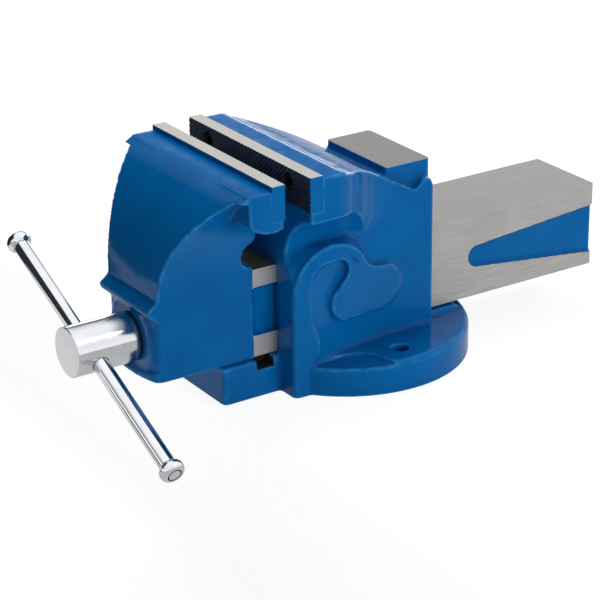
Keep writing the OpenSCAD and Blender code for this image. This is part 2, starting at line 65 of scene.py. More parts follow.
def linear(hex_colour):
    """An sRGB hex colour as the linear values that shaders take."""
    parts = [int(hex_colour[i:i + 2], 16) / 255 for i in (1, 3, 5)]
    return [p / 12.92 if p <= 0.04045 else ((p + 0.055) / 1.055) ** 2.4 for p in parts] + [1.0]


def add_node(tree, kind, links=None, **settings):
    """Adds a node, sets its properties and sockets, and links the sockets named in links."""
    made = tree.nodes.new(kind)
    for key, value in settings.items():
        if hasattr(made, key):
            setattr(made, key, value)
        else:
            made.inputs[key].default_value = value
    for socket, source in (links or {}).items():
        tree.links.new(source, made.inputs[socket])
    return made


def empty_tree(owner):
    """The node tree of a material or a world, emptied."""
    owner.use_nodes = True
    owner.node_tree.nodes.clear()
    return owner.node_tree


def new_material(name):
    """An empty node material with its shader and output linked; returns material, tree, shader."""
    material = bpy.data.materials.new(name)
    tree = empty_tree(material)
    shader = add_node(tree, "ShaderNodeBsdfPrincipled")
    add_node(tree, "ShaderNodeOutputMaterial", {"Surface": shader.outputs["BSDF"]})
    return material, tree, shader


def ramp(tree, source, stops):
    """A colour ramp over source; stops are (position, hex colour or grey level)."""
    made = add_node(tree, "ShaderNodeValToRGB", {"Fac": source})
    elements = made.color_ramp.elements
    while len(elements) < len(stops):
        elements.new(0.5)
    for element, (place, value) in zip(elements, stops):
        element.position = place
        element.color = linear(value) if isinstance(value, str) else (value, value, value, 1)
    return made.outputs["Color"]


def per_metre(millimetres):
    """Texture scale whose features are about this many millimetres across."""
    return 1000 / millimetres


def noise(tree, coords, millimetres, detail):
    """Soft random clouds of about this size; more detail adds smaller ones."""
    made = add_node(tree, "ShaderNodeTexNoise", {"Vector": coords}, Scale=per_metre(millimetres),
                    Detail=detail, Roughness=0.55)
    return made.outputs["Fac"]


def stretched(tree, coords, along):
    """Coordinates shrunk along one axis, so that a pattern is drawn out along it."""
    scale = [0.03 if axis == along else 1.0 for axis in "xyz"]
    return add_node(tree, "ShaderNodeMapping", {"Vector": coords}, Scale=scale).outputs["Vector"]


def bump(tree, height, depth_mm, strength, before=None):
    """A bumpy normal of this depth, laid over the bumps before it if there are any."""
    links = {"Height": height}
    if before is not None:
        links["Normal"] = before
    node = add_node(tree, "ShaderNodeBump", links, Strength=strength, Distance=depth_mm * MM)
    return node.outputs["Normal"]


def mixed(tree, factor, first, second):
    """A blend of two colours, each a socket or a hex colour."""
    links, values = {"Fac": factor}, {}
    for socket, colour in (("Color1", first), ("Color2", second)):
        if isinstance(colour, str):
            values[socket] = linear(colour)
        else:
            links[socket] = colour
    return add_node(tree, "ShaderNodeMixRGB", links, **values).outputs["Color"]


def by_ray(tree, ray, others, chosen):
    """The shader chosen for one kind of ray, and another for all others."""
    path = add_node(tree, "ShaderNodeLightPath")
    return add_node(tree, "ShaderNodeMixShader", {0: path.outputs[ray], 1: others, 2: chosen}).outputs[0]


# ------------------------------------------------------------------ materials

def gloss_enamel(name, edge_highlight=0.6, hollow_shade=0.8):
    """Blue gloss enamel sprayed over cast iron: a deep even blue, wet-looking, that lies in soft
    waves over the rough casting, with a fine orange peel. Painted highlight lightens it in patches
    over sharp edges, and painted shade darkens it in the hollows; the two arguments say how much."""
    material, tree, shader = new_material(name)
    coords = add_node(tree, "ShaderNodeTexCoord").outputs["Object"]
    shade = noise(tree, coords, 45, detail=2)
    even = ramp(tree, shade, [(0.35, "#005492"), (0.65, "#005A99")])
    bend = add_node(tree, "ShaderNodeNewGeometry").outputs["Pointiness"]
    # painted shade: hollows, found by pointiness, are darkened towards #003A70
    hollows = ramp(tree, bend, [(0.465, hollow_shade), (0.494, 0.0)])
    gathered = mixed(tree, hollows, even, "#003A70")
    # painted highlight: sharp edges are lightened towards #2F86C6, in random patches
    edges = ramp(tree, bend, [(0.506, 0.0), (0.535, edge_highlight)])
    patchy_highlight = ramp(tree, noise(tree, coords, 9, detail=3), [(0.38, 0.25), (0.62, 1.0)])
    edge_highlight_share = add_node(tree, "ShaderNodeMath", {0: edges, 1: patchy_highlight}, operation="MULTIPLY")
    drawn = mixed(tree, edge_highlight_share.outputs[0], gathered, "#2F86C6")
    tree.links.new(drawn, shader.inputs["Base Color"])
    gloss = noise(tree, coords, 12, detail=2)
    tree.links.new(ramp(tree, gloss, [(0.3, 0.09), (0.7, 0.16)]), shader.inputs["Roughness"])
    cast = bump(tree, noise(tree, coords, 24, detail=2), 0.45, 0.6)
    skin = bump(tree, noise(tree, coords, 7, detail=3), 0.1, 0.5, cast)
    peel = bump(tree, noise(tree, coords, 2.4, detail=1), 0.03, 0.5, skin)
    tree.links.new(peel, shader.inputs["Normal"])
    shader.inputs["IOR"].default_value = 1.45
    shader.inputs["Specular IOR Level"].default_value = 0.25
    shader.inputs["Specular Tint"].default_value = linear("#84BCF4")
    return material


def cut_steel(name, along, light, dark, line_mm, rough=(0.34, 0.46)):
    """Ground or milled metal with a little oil and dust in its cuts, so that it is half matt: fine
    straight lines along the cut on an even grey."""
    material, tree, shader = new_material(name)
    coords = add_node(tree, "ShaderNodeTexCoord").outputs["Object"]
    lines = noise(tree, stretched(tree, coords, along), line_mm, detail=2)
    clouds = noise(tree, coords, 38, detail=2)
    both = add_node(tree, "ShaderNodeMix", {"A": lines, "B": clouds}, Factor=0.3).outputs["Result"]
    tree.links.new(ramp(tree, both, [(0.35, dark), (0.62, light)]), shader.inputs["Base Color"])
    tree.links.new(ramp(tree, clouds, [(0.3, rough[0]), (0.7, rough[1])]), shader.inputs["Roughness"])
    tree.links.new(bump(tree, lines, 0.02, 0.35), shader.inputs["Normal"])
    shader.inputs["Metallic"].default_value = 0.5
    return material


def bright_plate(name, smooth, dull):
    """Turned steel with bright zinc plating: nearly a mirror where it was polished first."""
    material, tree, shader = new_material(name)
    coords = add_node(tree, "ShaderNodeTexCoord").outputs["Object"]
    clouds = noise(tree, coords, 18, detail=2)
    tree.links.new(ramp(tree, clouds, [(0.3, "#D6D8DB"), (0.7, "#E2E3E6")]), shader.inputs["Base Color"])
    tree.links.new(ramp(tree, clouds, [(0.3, smooth), (0.7, dull)]), shader.inputs["Roughness"])
    shader.inputs["Metallic"].default_value = 1.0
    return material


def turned_face():
    """The faced end of a turned bar: satin, with rings too fine to see one by one."""
    material, tree, shader = new_material("faced_steel")
    coords = add_node(tree, "ShaderNodeTexCoord").outputs["Object"]
    clouds = noise(tree, coords, 14, detail=3)
    tree.links.new(ramp(tree, clouds, [(0.3, "#D4D6D9"), (0.7, "#DEDFE2")]), shader.inputs["Base Color"])
    tree.links.new(ramp(tree, clouds, [(0.3, 0.26), (0.7, 0.34)]), shader.inputs["Roughness"])
    shader.inputs["Metallic"].default_value = 0.8
    return material


def dark_steel(name, dark, light, metallic, rough):
    """Steel, iron or grease darkened by heat or oil: near black, with a broken satin sheen. Some of these
    near-blacks are also laid on as painted shade, and the navy of one is painted reflection.
    """
    material, tree, shader = new_material(name)
    coords = add_node(tree, "ShaderNodeTexCoord").outputs["Object"]
    spots = noise(tree, coords, 5, detail=4)
    tree.links.new(ramp(tree, spots, [(0.3, dark), (0.75, light)]), shader.inputs["Base Color"])
    tree.links.new(ramp(tree, spots, [(0.3, rough[0]), (0.7, rough[1])]), shader.inputs["Roughness"])
    shader.inputs["Metallic"].default_value = metallic
    return material


def plain_steel():
    """Plain turned or rolled steel, lightly oiled: mid grey with soft blotches."""
    material, tree, shader = new_material("oiled_plain_steel")
    coords = add_node(tree, "ShaderNodeTexCoord").outputs["Object"]
    blotch = noise(tree, coords, 8, detail=4)
    tree.links.new(ramp(tree, blotch, [(0.3, "#8F8E8B"), (0.7, "#B4B2AE")]), shader.inputs["Base Color"])
    tree.links.new(ramp(tree, blotch, [(0.3, 0.25), (0.7, 0.42)]), shader.inputs["Roughness"])
    shader.inputs["Metallic"].default_value = 1.0
    return material


ENAMEL = gloss_enamel("gloss_enamel_on_cast_iron")
PAINTED_STEEL = gloss_enamel("gloss_enamel_on_steel", 0.0, 0.0)
GROUND = cut_steel("surface_ground_steel", "x", "#B2AFAB", "#A6A39F", 0.8, (0.42, 0.52))
MILLED = cut_steel("milled_cast_iron", "y", "#B9B8B6", "#A5A4A2", 1.2)
# the milled iron again, darker than on the slide's sides: painted shade for the slide's top
MILLED_SHADED = cut_steel("milled_cast_iron_shaded", "y", "#8D8C8A", "#807F7D", 1.2)
ANVIL = cut_steel("milled_anvil_iron", "x", "#7A7977", "#6E6D6C", 1.0, (0.42, 0.52))
BRIGHT = bright_plate("bright_zinc_plated_steel", 0.07, 0.13)
SATIN = bright_plate("satin_zinc_plated_steel", 0.15, 0.21)
FACED = turned_face()
# near-black steel whose navy tint is painted reflection of the blue enamel facing it
SERRATED = dark_steel("hardened_serrated_steel", "#0A1A33", "#14294A", 0.5, (0.3, 0.5))
BLACK = dark_steel("black_oxide_and_painted_shade", "#0B0C0E", "#17191D", 0.5, (0.4, 0.55))
# grease on the screw and nut; the same near-black is laid on the slide's top as painted shade
GREASE_AND_SHADE = dark_steel("greased_iron_and_painted_shade", "#3A3936", "#5F5E5B", 0.7, (0.3, 0.55))
# painted shade for the chip notches
NOTCH_SHADE = dark_steel("painted_notch_shade", "#050607", "#0B0D10", 0.0, (0.5, 0.7))
PLAIN = plain_steel()


# --------------------------------------------------------------------- meshes

# Castings: cell of the skin in millimetres; rounds of fettling, in which hollows fill and ridges
# wear, and of even smoothing after them; how far a point moves towards its neighbours each round
SKIN_CELL = 1.4
FETTLING, HOLLOW_FILL, RIDGE_WEAR = 6, 0.5, 0.12
SMOOTHING, EVEN_WEAR = 3, 0.4
FACES_KEPT = 0.6                        # share of a casting's faces kept when it is finished


def soften_shading(bm, degrees):
    """Smooth shading apart from edges sharper than this."""
    limit = math.radians(degrees)
    for face in bm.faces:
        face.smooth = True
    for edge in bm.edges:
        edge.smooth = len(edge.link_faces) == 2 and edge.calc_face_angle(0) < limit


def to_object(bm, name, materials, smooth_below=None):
    """Makes a bmesh an object at the origin, shaded smooth below an angle in degrees."""
    bm.normal_update()
    if smooth_below is not None:
        soften_shading(bm, smooth_below)
    mesh = bpy.data.meshes.new(name)
    bm.to_mesh(mesh)
    bm.free()
    for material in materials:
        mesh.materials.append(material)
    made = bpy.data.objects.new(name, mesh)
    bpy.context.scene.collection.objects.link(made)
    return made


def piece(obj, body, slot, *nodes):
    """Hangs a finished piece on the body that carries it and hides the CAD nodes it stands for; slot is not
    used.
    """
    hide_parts(*nodes)
    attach(obj, body)
    return obj


def cad_copy(node):
    """A CAD node's mesh as one merged bmesh."""
    bm = bmesh.new()
    bm.from_mesh(NODES[node].data)
    bmesh.ops.remove_doubles(bm, verts=bm.verts, dist=0.002 * MM)
    return bm


def add_box(bm, low, high):
    """Adds a box between two corners, in millimetres."""
    centre = [(a + b) / 2 * MM for a, b in zip(low, high)]
    size = [(b - a) * MM for a, b in zip(low, high)]
    bmesh.ops.create_cube(bm, size=1, matrix=Matrix.Translation(centre) @ Matrix.Diagonal((*size, 1)))


def modified(obj, kind, **settings):
    """Runs one modifier on an object and keeps its result."""
    modifier = obj.modifiers.new(kind, kind)
    for key, value in settings.items():
        setattr(modifier, key, value)
    graph = bpy.context.evaluated_depsgraph_get()
    mesh = bpy.data.meshes.new_from_object(obj.evaluated_get(graph))
    obj.modifiers.remove(modifier)
    old, obj.data = obj.data, mesh
    bpy.data.meshes.remove(old)
    return obj


def places(mesh):
    """The places of a mesh's vertices, as rows of x, y, z."""
    flat = np.empty(len(mesh.vertices) * 3)
    mesh.vertices.foreach_get("co", flat)
    return flat.reshape(-1, 3)


def move_to(mesh, rows):
    """Moves a mesh's vertices to new places."""
    mesh.vertices.foreach_set("co", rows.ravel())
    mesh.update()


def fettle(obj):
    """Softens a mesh as casting and fettling do: hollows fill more than ridges wear."""
    mesh = obj.data
    co = places(mesh)
    edges = np.empty(len(mesh.edges) * 2, np.int64)
    mesh.edges.foreach_get("vertices", edges)
    a, b = edges.reshape(-1, 2).T
    corners = np.empty(len(mesh.loops), np.int64)
    mesh.loops.foreach_get("vertex_index", corners)
    quads = corners.reshape(-1, 4)
    count = np.bincount(edges, minlength=len(co))[:, None]

    def gathered(where, values):
        """For every vertex, the sum of the values that belong to it."""
        return np.stack([np.bincount(where, values[:, k], len(co)) for k in range(3)], 1)

    for turn in range(FETTLING + SMOOTHING):
        pull = (gathered(a, co[b]) + gathered(b, co[a])) / count - co
        face = np.cross(co[quads[:, 2]] - co[quads[:, 0]], co[quads[:, 3]] - co[quads[:, 1]])
        normal = sum(gathered(quads[:, k], face) for k in range(4))
        outward = (pull * normal).sum(1) > 0
        if turn < FETTLING:
            weight = np.where(outward, HOLLOW_FILL, RIDGE_WEAR)
        else:
            weight = np.full(len(co), EVEN_WEAR)
        co += weight[:, None] * pull
    move_to(mesh, co)


def casting(bm, name, ease=None):
    """A rough casting: the solids in bm become one skin, eased if asked, with soft cast edges."""
    obj = to_object(bm, name, [ENAMEL])
    modified(obj, "REMESH", mode="VOXEL", voxel_size=SKIN_CELL * MM, adaptivity=0.0)
    if ease:
        ease(obj)
    fettle(obj)
    return obj


def cut_away(obj, cutter, material):
    """Cuts the solids in cutter away from an object; the cut faces take the material."""
    tool = to_object(cutter, "tool", [material])
    if material.name not in obj.data.materials:
        obj.data.materials.append(material)
    modified(obj, "BOOLEAN", object=tool, operation="DIFFERENCE", solver="EXACT", material_mode="TRANSFER")
    bpy.data.objects.remove(tool)


def mill(obj, boxes, material):
    """Cuts boxes away, each given by two corners in millimetres."""
    cutter = bmesh.new()
    for low, high in boxes:
        add_box(cutter, low, high)
    cut_away(obj, cutter, material)


def allowance(bm, axis, at, extra, keep=lambda co: True):
    """Moves the vertices of one flat face outward, as a pattern maker leaves metal to be cut."""
    for vert in bm.verts:
        if abs(vert.co[axis] - at * MM) < 0.02 * MM and keep(vert.co):
            vert.co[axis] += extra * MM


def reshade(obj, degrees):
    """Shades a finished object smooth apart from edges sharper than this."""
    bm = bmesh.new()
    bm.from_mesh(obj.data)
    soften_shading(bm, degrees)
    bm.to_mesh(obj.data)
    bm.free()


def corners(node):
    """The lowest and highest corner of a node, in millimetres."""
    low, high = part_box(node)
    return [v / MM for v in low], [v / MM for v in high]


def add_turned(bm, profile, place, steps=96, closed=False):
    """Adds a solid turned about the Y axis from points (place on the axis, radius), in millimetres."""
    before = set(bm.verts)
    verts = [bm.verts.new((0, y * MM, r * MM)) for y, r in profile]
    edges = [bm.edges.new(pair) for pair in zip(verts, verts[1:] + verts[:1] if closed else verts[1:])]
    bmesh.ops.spin(bm, geom=verts + edges, cent=(0, 0, 0), axis=(0, 1, 0), angle=math.tau, steps=steps,
                   use_merge=True)
    bmesh.ops.remove_doubles(bm, verts=[v for v in bm.verts if v not in before], dist=0.001 * MM)
    made = [v for v in bm.verts if v not in before]
    bmesh.ops.recalc_face_normals(bm, faces=list({face for vert in made for face in vert.link_faces}))
    bmesh.ops.transform(bm, matrix=place, verts=made)


def rounded(y, r, radius, start, end, steps=5):
    """Profile points of a corner arc about (y, r), angles in degrees from the axis."""
    turns = [math.radians(start + (end - start) * k / steps) for k in range(steps + 1)]
    return [(y + radius * math.cos(t), r + radius * math.sin(t)) for t in turns]


# -------------------------------------------------------------------- castings

PLATE = corners("fixed_jaw_plate")
MOVING_PLATE = corners("moving_jaw_plate")
BODY = corners("body")
JAW = corners("moving_jaw")
PLATE_L = PLATE[1][0] - PLATE[0][0]
HALF_JAW = 100
SLIDE_W, SLIDE_LOW, SLIDE_TOP = 84, 35.5, 118.5
SLIDE_FIT, SEAT_GAP = 0.3, 0.05
MILLED_FROM = MOVING_PLATE[1][1] + 0.5
SHADED_TOP_L = 34                          # length of the slide's top darkened as painted shade, where it lies under the jaws
ANVIL_TOP, BODY_REAR, BODY_W = 186, 60, 112
FACE_Y = PLATE[0][1]                    # gripping face of the fixed plate
# Metal left on for machining: on the body, under the plates' seats, on the slide
BODY_STOCK, SEAT_STOCK, SLIDE_STOCK = 4, 8, 1.4
# How far cutters reach past a whole casting, past one feature of it, and past the slide's top
FAR, NEAR, OVER = 400, 60, 20

# The jaw's ends in plan: where they start to narrow, and the radii of their outer and inner
# corners, as the CAD node has them and as the casting is swept. The change begins above one height
# and outside one half width, and grows to full over the run given with each.
NARROWS_FROM = FACE_Y + 42
PLAIN_CORNERS, SWEPT_CORNERS = (12, 20), (34, 90)
SWEPT_ABOVE, SWEPT_OUTSIDE = (138, 16), (48, 10)

# The chip notch in each flank of the foot: its inner side, its front and rear as distances ahead
# of the gripping face, and its floor and top as distances below the slide
NOTCH_X, NOTCH_Y, NOTCH_Z = 33.7, (24.3, 6.7), (10.1, 0.5)


def plan_arc(cx, cy, radius, start, end):
    """Points (y, x) of an arc in plan, angles in degrees from +X."""
    turns = [math.radians(start + (end - start) * k / 8) for k in range(9)]
    return [(cy + radius * math.sin(t), cx + radius * math.cos(t)) for t in turns]


def jaw_end_plan(outer_r, inner_r):
    """Half width of the jaw along Y, narrowing at 45 degrees between an outer and an inner corner."""
    wide, side = PLATE_L / 2, BODY_W / 2
    tangent = math.tan(math.radians(22.5))
    narrowed_at = NARROWS_FROM + wide - side
    points = (plan_arc(wide - outer_r, NARROWS_FROM - outer_r * tangent, outer_r, 0, 45)
              + plan_arc(side + inner_r, narrowed_at + inner_r * tangent, inner_r, 225, 180))
    return list(zip(*points))


def sweep_jaw_ends(obj):
    """Eases the jaw's ends into the body's flat sides: the plan's tight corners become long ones."""
    rows = places(obj.data)
    x, y, z = rows.T / MM
    change = np.interp(y, *jaw_end_plan(*SWEPT_CORNERS)) / np.interp(y, *jaw_end_plan(*PLAIN_CORNERS)) - 1
    for distance, (start, run) in ((z, SWEPT_ABOVE), (np.abs(x), SWEPT_OUTSIDE)):
        change *= np.clip((distance - start) / run, 0, 1)
    rows[:, 0] *= 1 + change
    move_to(obj.data, rows)


def body_casting():
    """The body, cast with metal left on and then machined: plate seat, tunnel, anvil, underside."""
    bm = cad_copy("body")
    seat_y, seat_z = PLATE[1][1], PLATE[0][2]
    allowance(bm, 2, 0, -BODY_STOCK)
    allowance(bm, 2, ANVIL_TOP, BODY_STOCK)
    add_box(bm, (-HALF_JAW, FACE_Y + 2, seat_z - SEAT_STOCK), (HALF_JAW, seat_y + 10, BODY[1][2]))
    cored = SLIDE_W / 2 + BODY_STOCK
    add_box(bm, (-cored, FACE_Y + 2.5, SLIDE_LOW - 5), (cored, BODY_REAR - 1.5, SLIDE_TOP + BODY_STOCK))
    obj = casting(bm, "body_casting", sweep_jaw_ends)
    half = SLIDE_W / 2 + SLIDE_FIT
    mill(obj, [((-FAR, -FAR, seat_z - SEAT_GAP), (FAR, seat_y - SEAT_GAP, FAR)),
               ((-half, -FAR, SLIDE_LOW - SLIDE_FIT), (half, FAR, SLIDE_TOP + SLIDE_FIT))], MILLED)
    mill(obj, [((-NEAR, BODY_REAR - NEAR, ANVIL_TOP), (NEAR, FAR, FAR))], ANVIL)
    # painted shade: the chip notches are lined with near-black
    front, rear = (FACE_Y - ahead for ahead in NOTCH_Y)
    low, high = (SLIDE_LOW - under for under in NOTCH_Z)
    mill(obj, [((NOTCH_X, front, low), (NEAR, rear, high)),
               ((-NEAR, front, low), (-NOTCH_X, rear, high))], NOTCH_SHADE)
    mill(obj, [((-FAR, -FAR, -NEAR), (FAR, FAR, 0))], MILLED)
    return obj


def jaw_casting():
    """The moving jaw, cast with metal left on and then machined: plate seat and slide."""
    bm = cad_copy("moving_jaw")
    half = SLIDE_W / 2
    seat_y, seat_z = MOVING_PLATE[0][1], MOVING_PLATE[0][2]
    tail = JAW[1][1]

    def on_slide(co):
        """Whether a point lies on the milled part, behind the moving plate."""
        return co.y > (MILLED_FROM - 0.05) * MM

    for side in (-1, 1):
        allowance(bm, 0, side * half, side * SLIDE_STOCK, on_slide)
    allowance(bm, 2, SLIDE_TOP, SLIDE_STOCK, on_slide)
    allowance(bm, 2, SLIDE_LOW, -SLIDE_STOCK)
    allowance(bm, 1, tail, SLIDE_STOCK)
    add_box(bm, (-HALF_JAW, seat_y - 5, seat_z - SEAT_STOCK), (HALF_JAW, MOVING_PLATE[1][1] - 2, JAW[1][2]))
    obj = casting(bm, "jaw_casting")
    above = SLIDE_TOP + OVER
    mill(obj, [((-FAR, seat_y + SEAT_GAP, seat_z - SEAT_GAP), (FAR, FAR, FAR))], MILLED)
    mill(obj, [((-FAR, -FAR, -NEAR), (FAR, MILLED_FROM, SLIDE_LOW))], ENAMEL)
    mill(obj, [((half, MILLED_FROM, -FAR), (FAR, FAR, above)),
               ((-FAR, MILLED_FROM, -FAR), (-half, FAR, above))], MILLED)
    mill(obj, [((-FAR, MILLED_FROM, -FAR), (FAR, FAR, SLIDE_LOW))], MILLED)
    # painted shade: the slide's top is darkened to near black where it lies under the jaws
    mill(obj, [((-FAR, MILLED_FROM, SLIDE_TOP), (FAR, MILLED_FROM + SHADED_TOP_L, above))], GREASE_AND_SHADE)
    # painted shade: the rest of the slide's top takes the darker copy of the milled iron
    mill(obj, [((-FAR, MILLED_FROM + SHADED_TOP_L - 1, SLIDE_TOP), (FAR, FAR, above))], MILLED_SHADED)
    mill(obj, [((-FAR, tail, -FAR), (FAR, FAR, FAR))], MILLED)
    return obj


for make, node, body in ((body_casting, "body", "base"), (jaw_casting, "moving_jaw", "jaw_carriage")):
    made = make()
    modified(made, "DECIMATE", decimate_type="COLLAPSE", ratio=FACES_KEPT)
    reshade(made, 40)
    piece(made, body, "blue_enamel", node)


# ------------------------------------------------------------------ jaw plates

SCREW_PITCH, SCREW_D, SCREW_HEAD_D, SCREW_Z = 132, 10, 15, 203
SCREW_L, SCREW_BORE_FIT, SOCKET_R = 21.5, 0.6, 4.5
KNURL_DEPTH = 0.035                     # as a share of the head's radius
TOOTH_PITCH, TOOTH_DEPTH = 3.6, 1.1
PLATE_T = PLATE[1][1] - PLATE[0][1]
PLATE_LOW, PLATE_TOP = PLATE[0][2], PLATE[1][2]
SCREW_SEAT = PLATE_T - SCREW_D
HALF_TURN = Matrix.Rotation(math.pi, 4, "Z")
JAWS = {"fixed": (Matrix.Translation((0, PLATE[1][1] * MM, 0)) @ HALF_TURN, "base"),
        "moving": (Matrix.Translation((0, MOVING_PLATE[0][1] * MM, 0)), "jaw_carriage")}


def screw_place(side):
    """Where a screw's axis meets the back of a plate that lies on y = 0."""
    return Matrix.Translation((side * SCREW_PITCH / 2 * MM, 0, SCREW_Z * MM))


def serrated_plate():
    """A plate with its back on y = 0: a sheet of four-sided teeth at 45 degrees, drawn back to a block."""
    bm = bmesh.new()
    height = PLATE_TOP - PLATE_LOW
    cells = math.ceil((PLATE_L + height) / math.sqrt(2) / TOOTH_PITCH) + 1
    bmesh.ops.create_grid(bm, x_segments=cells, y_segments=cells, size=cells * TOOTH_PITCH / 2 * MM)
    bmesh.ops.poke(bm, faces=bm.faces, offset=TOOTH_DEPTH * MM)
    bmesh.ops.rotate(bm, matrix=Matrix.Rotation(math.pi / 4, 3, "Z"), verts=bm.verts)
    for axis, half in ((Vector((1, 0, 0)), PLATE_L / 2), (Vector((0, 1, 0)), height / 2)):
        for outward in (-axis, axis):
            bmesh.ops.bisect_plane(bm, geom=bm.verts[:] + bm.edges[:] + bm.faces[:], dist=0.001 * MM,
                                   plane_co=outward * half * MM, plane_no=outward, clear_outer=True)
    rim = [edge for edge in bm.edges if edge.is_boundary]
    walls = bmesh.ops.extrude_edge_only(bm, edges=rim)["geom"]
    for vert in (v for v in walls if isinstance(v, bmesh.types.BMVert)):
        vert.co.z = (TOOTH_DEPTH - PLATE_T) * MM
    bmesh.ops.holes_fill(bm, edges=[edge for edge in bm.edges if edge.is_boundary], sides=0)
    bmesh.ops.recalc_face_normals(bm, faces=bm.faces)
    # the sheet lies in XY with its teeth up: stand it up with the teeth towards +Y
    stand = Matrix(((-1, 0, 0, 0), (0, 0, 1, (PLATE_T - TOOTH_DEPTH) * MM),
                    (0, 1, 0, (PLATE_LOW + PLATE_TOP) / 2 * MM), (0, 0, 0, 1)))
    bmesh.ops.transform(bm, matrix=stand, verts=bm.verts)
    bm.normal_update()
    for face in bm.faces:
        face.material_index = 1 if face.normal.y > 0.5 else 2 if face.normal.z > 0.9 else 0
    return bm


def jaw_plate(name, place, body):
    """A jaw's plate: serrated face, ground top, painted ends, and two stepped bores."""
    obj = to_object(serrated_plate(), name + "_plate_serrated", [PAINTED_STEEL, SERRATED, GROUND])
    cutter = bmesh.new()
    shank, head = SCREW_D / 2 + SCREW_BORE_FIT, SCREW_HEAD_D / 2 + SCREW_BORE_FIT
    bore = [(-1, 0), (-1, shank), (SCREW_SEAT, shank), (SCREW_SEAT, head), (PLATE_T - 1.6, head),
            (PLATE_T + 1, head + 1.2), (PLATE_T + 1, 0)]
    for side in (-1, 1):
        add_turned(cutter, bore, screw_place(side), steps=48)
    # painted shade: the walls of the bores are coloured black
    cut_away(obj, cutter, BLACK)
    obj.data.transform(place)
    piece(obj, body, "jaw_steel", name + "_jaw_plate")


def cap_screw(name, place, side, body):
    """Socket cap screw with a knurled head, its tip towards -Y."""
    seat, tip, head, r = SCREW_SEAT + SEAT_GAP, SCREW_SEAT - SCREW_L, SCREW_HEAD_D / 2, SCREW_D / 2
    top = seat + SCREW_D * 0.85
    axis = screw_place(side)
    centre = axis.translation
    bm = bmesh.new()
    profile = [(tip, 0), (tip, r - 1), (tip + 1, r), (seat, r), (seat, head - 0.4), (seat + 0.4, head),
               (top - 0.8, head), (top, head - 0.8), (top, 0)]
    add_turned(bm, profile, axis, steps=72)
    rim = [v for v in bm.verts
           if seat * MM < v.co.y < (top - 0.5) * MM and (v.co - centre).xz.length > (head - 0.5) * MM]
    rim.sort(key=lambda v: math.atan2(v.co.x - centre.x, v.co.z - centre.z))
    for number, vert in enumerate(rim):
        if number // 2 % 2:
            vert.co.x += (centre.x - vert.co.x) * KNURL_DEPTH
            vert.co.z += (centre.z - vert.co.z) * KNURL_DEPTH
    obj = to_object(bm, name.replace("plate", "cap"), [BLACK], 30)
    socket = bmesh.new()
    depth = Matrix.Translation((0, (top - 2) * MM, 0)) @ Matrix.Rotation(math.pi / 2, 4, "X")
    bmesh.ops.create_cone(socket, cap_ends=True, segments=6, radius1=SOCKET_R * MM, radius2=SOCKET_R * MM,
                          depth=6 * MM, matrix=axis @ depth)
    cut_away(obj, socket, BLACK)
    obj.data.transform(place)
    piece(obj, body, "black_screw", name)


for jaw, (place, body) in JAWS.items():
    jaw_plate(jaw, place, body)
    for side, word in ((-1, "left"), (1, "right")):
        turned_side = side if jaw == "moving" else -side
        cap_screw(f"{jaw}_plate_screw_{word}", place, turned_side, body)


# --------------------------------------------------------------- screw and handle

SPINDLE = corners("spindle")
AXIS_Z = (SPINDLE[0][2] + SPINDLE[1][2]) / 2
ON_AXIS = Matrix.Translation((0, 0, AXIS_Z * MM))
HEAD_R = (SPINDLE[1][0] - SPINDLE[0][0]) / 2
HEAD_FRONT, HEAD_REAR = SPINDLE[0][1], corners("head_washer")[0][1] - 0.05
HEAD_EDGE = 1.2                         # radius of the head's edges
SCREW_R, LEAD, THREAD_DEPTH = 14, 6, 3.2
COLLAR = corners("retaining_collar")
BAR = corners("handle_bar")
SLIDE_AXIS = Vector(next(j["axis"] for j in frame["joints"] if j["name"] == "handle_slide"))
BAR_D = BAR[1][1] - BAR[0][1]
BAR_L = (BAR[1][0] - BAR[0][0] - BAR_D * abs(SLIDE_AXIS.z)) / SLIDE_AXIS.x
BAR_CENTRE = Vector([(a + b) / 2 * MM for a, b in zip(*BAR)])
ALONG_BAR = Vector((0, 1, 0)).rotation_difference(SLIDE_AXIS).to_matrix().to_4x4()
ON_BAR = Matrix.Translation(BAR_CENTRE) @ ALONG_BAR
SPIGOT_R, KNOB_L, KNOB_R = 5.85, 11, 11.3
DOME_H, DOME_R = 5.5, 7.2               # of a knob: height of its rounding, and where that begins
RUNNING_FIT, WASHER_FIT = 0.05, 0.6
NUT_BOLT_R, NUT_BOLT_Y = 6, 14
ACROSS = Matrix.Rotation(math.pi / 2, 4, "X")


def wind(bm, section, turns, rise, steps):
    """Winds a closed outline round the Y axis, rising by so much a turn, and closes both ends."""
    bmesh.ops.spin(bm, geom=section, cent=(0, 0, 0), axis=(0, 1, 0), angle=math.tau * turns,
                   steps=round(steps * turns), dvec=(0, rise / steps * MM, 0))
    bmesh.ops.holes_fill(bm, edges=[edge for edge in bm.edges if edge.is_boundary], sides=0)
    bmesh.ops.recalc_face_normals(bm, faces=bm.faces)
    bmesh.ops.transform(bm, matrix=ON_AXIS, verts=bm.verts)


def thread(start, end):
    """One trapezoidal thread ridge wound along the screw, sunk a little into its core."""
    bm = bmesh.new()
    crest, root, sunk = LEAD * 0.18, LEAD * 0.34, SCREW_R - THREAD_DEPTH - 0.4
    section = [(-root, sunk), (-crest, SCREW_R), (crest, SCREW_R), (root, sunk)]
    verts = [bm.verts.new((0, (start + y) * MM, r * MM)) for y, r in section]
    edges = [bm.edges.new(pair) for pair in zip(verts, verts[1:] + verts[:1])]
    wind(bm, verts + edges, (end - start) / LEAD, LEAD, 32)
    return to_object(bm, "thread", [GREASE_AND_SHADE])


